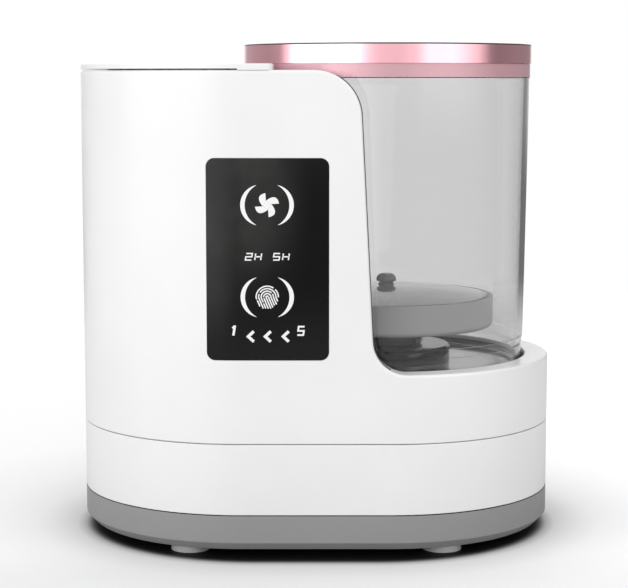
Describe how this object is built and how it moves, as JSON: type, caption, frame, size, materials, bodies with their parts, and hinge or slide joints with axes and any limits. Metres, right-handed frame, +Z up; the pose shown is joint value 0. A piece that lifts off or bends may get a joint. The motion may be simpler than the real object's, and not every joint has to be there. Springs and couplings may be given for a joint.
{
  "type": "countertop drying chamber",
  "caption": "Stadium-plan warm-air chamber dryer: a tower with touch panel, fan and heater beside a lift-out clear jar that holds a motor-turned tray under a vented lid.",
  "frame": {"origin": "on the floor under the middle of the housing, at the bottom centre of the whole object", "axes": "+Z up, +X from the tower towards the jar, -Y out of the front face with the touch panel"},
  "size_m": [0.214, 0.149, 0.2202],
  "materials": {
    "white_shell": "satin gloss, bright white",
    "white_cover": "satin gloss, bright white",
    "white_inner": "satin, very light grey",
    "grey_base": "fine matt texture, mid grey",
    "foot_rubber": "matt soft rubber, mid grey",
    "seal_silicone": "translucent grey silicone",
    "panel_glass": "polished black glass",
    "gasket": "black foam tape",
    "rose_metal": "polished rose gold anodised metal",
    "rose_ring": "satin rose gold",
    "clear_jar": "clear, very slightly grey",
    "clear_cover": "clear plastic",
    "clear_knob": "clear plastic",
    "smoked": "smoked translucent plastic",
    "circuit_board": "green solder mask",
    "components": "black moulded packages",
    "contact_steel": "zinc plated steel",
    "shaft_steel": "ground steel",
    "plate_steel": "galvanised sheet",
    "motor_can": "plated steel can",
    "bronze": "sintered bronze",
    "gear_nylon": "natural acetal",
    "pinion_brass": "machined brass",
    "fan_black": "black moulded plastic",
    "duct_plastic": "heat resistant off-white plastic",
    "heater": "bare aluminium fins",
    "filter_foam": "dark open foam",
    "filter_plastic": "off-white plastic",
    "wire": "black insulated leads"
  },
  "bodies": {
    "housing": {"base_tray": "grey_base", "rubber_feet": "foot_rubber", "lower_housing": "white_shell", "upper_housing": "white_shell", "top_cover": "white_cover", "jar_seat": "white_inner", "seat_ring": "seal_silicone", "touch_panel": "panel_glass", "panel_gasket": "gasket", "control_board": "circuit_board", "board_screws": "contact_steel", "board_components": "components", "touch_springs": "contact_steel", "power_board": "circuit_board", "power_components": "components", "power_screws": "contact_steel", "power_inlet": "components", "gear_plate": "plate_steel", "motor": "motor_can", "lower_bush": "bronze", "upper_bush": "bronze", "motor_screws": "contact_steel", "plate_screws": "contact_steel", "fan_frame": "fan_black", "fan_screws": "contact_steel", "air_duct": "duct_plastic", "outlet_grille": "duct_plastic", "heater_core": "heater", "thermal_cutout": "components", "intake_filter": "filter_foam", "filter_frame": "filter_plastic", "housing_screws": "contact_steel", "seat_screws": "contact_steel", "wiring": "wire"},
    "drive": {"drive_gear": "gear_nylon", "drive_shaft": "shaft_steel", "drive_coupler": "gear_nylon", "shaft_clip": "contact_steel"},
    "pinion": {"motor_pinion": "pinion_brass", "motor_shaft": "shaft_steel"},
    "fan": {"fan_impeller": "fan_black"},
    "jar": {"jar": "clear_jar", "jar_rim_ring": "rose_ring", "jar_pedestal": "smoked", "jar_seal": "seal_silicone", "jar_bush": "bronze"},
    "carrier": {"carrier_shaft": "shaft_steel", "driven_coupler": "gear_nylon", "turntable_hub": "smoked", "carrier_tray": "white_inner", "centre_post": "white_inner"},
    "cover": {"tray_cover": "clear_cover", "cover_knob": "clear_knob"},
    "lid": {"lid_cap": "rose_metal", "lid_vent_plate": "white_inner", "lid_seal": "seal_silicone"}
  },
  "joints": [
    {"name": "drive_spin", "type": "hinge", "parent": "housing", "child": "drive", "pos_m": [0.0325, 0, 0.053], "axis": [0, 0, 1], "continuous": true},
    {"name": "pinion_spin", "type": "hinge", "parent": "housing", "child": "pinion", "pos_m": [-0.0155, 0, 0.053], "axis": [0, 0, 1], "continuous": true},
    {"name": "fan_spin", "type": "hinge", "parent": "housing", "child": "fan", "pos_m": [-0.067, 0, 0.141], "axis": [0, 0, 1], "continuous": true},
    {"name": "jar_lift", "type": "slide", "parent": "housing", "child": "jar", "axis": [0, 0, 1], "range_m": [0, 0.14]},
    {"name": "carrier_spin", "type": "hinge", "parent": "jar", "child": "carrier", "pos_m": [0.0325, 0, 0.092], "axis": [0, 0, 1], "continuous": true},
    {"name": "cover_lift", "type": "slide", "parent": "carrier", "child": "cover", "axis": [0, 0, 1], "range_m": [0, 0.085]},
    {"name": "lid_lift", "type": "slide", "parent": "jar", "child": "lid", "axis": [0, 0, 1], "range_m": [0, 0.06]}
  ],
  "couplings": [
    {"joint": "pinion_spin", "follows": "drive_spin", "ratio": -5},
    {"joint": "carrier_spin", "follows": "drive_spin", "ratio": 1}
  ]
}
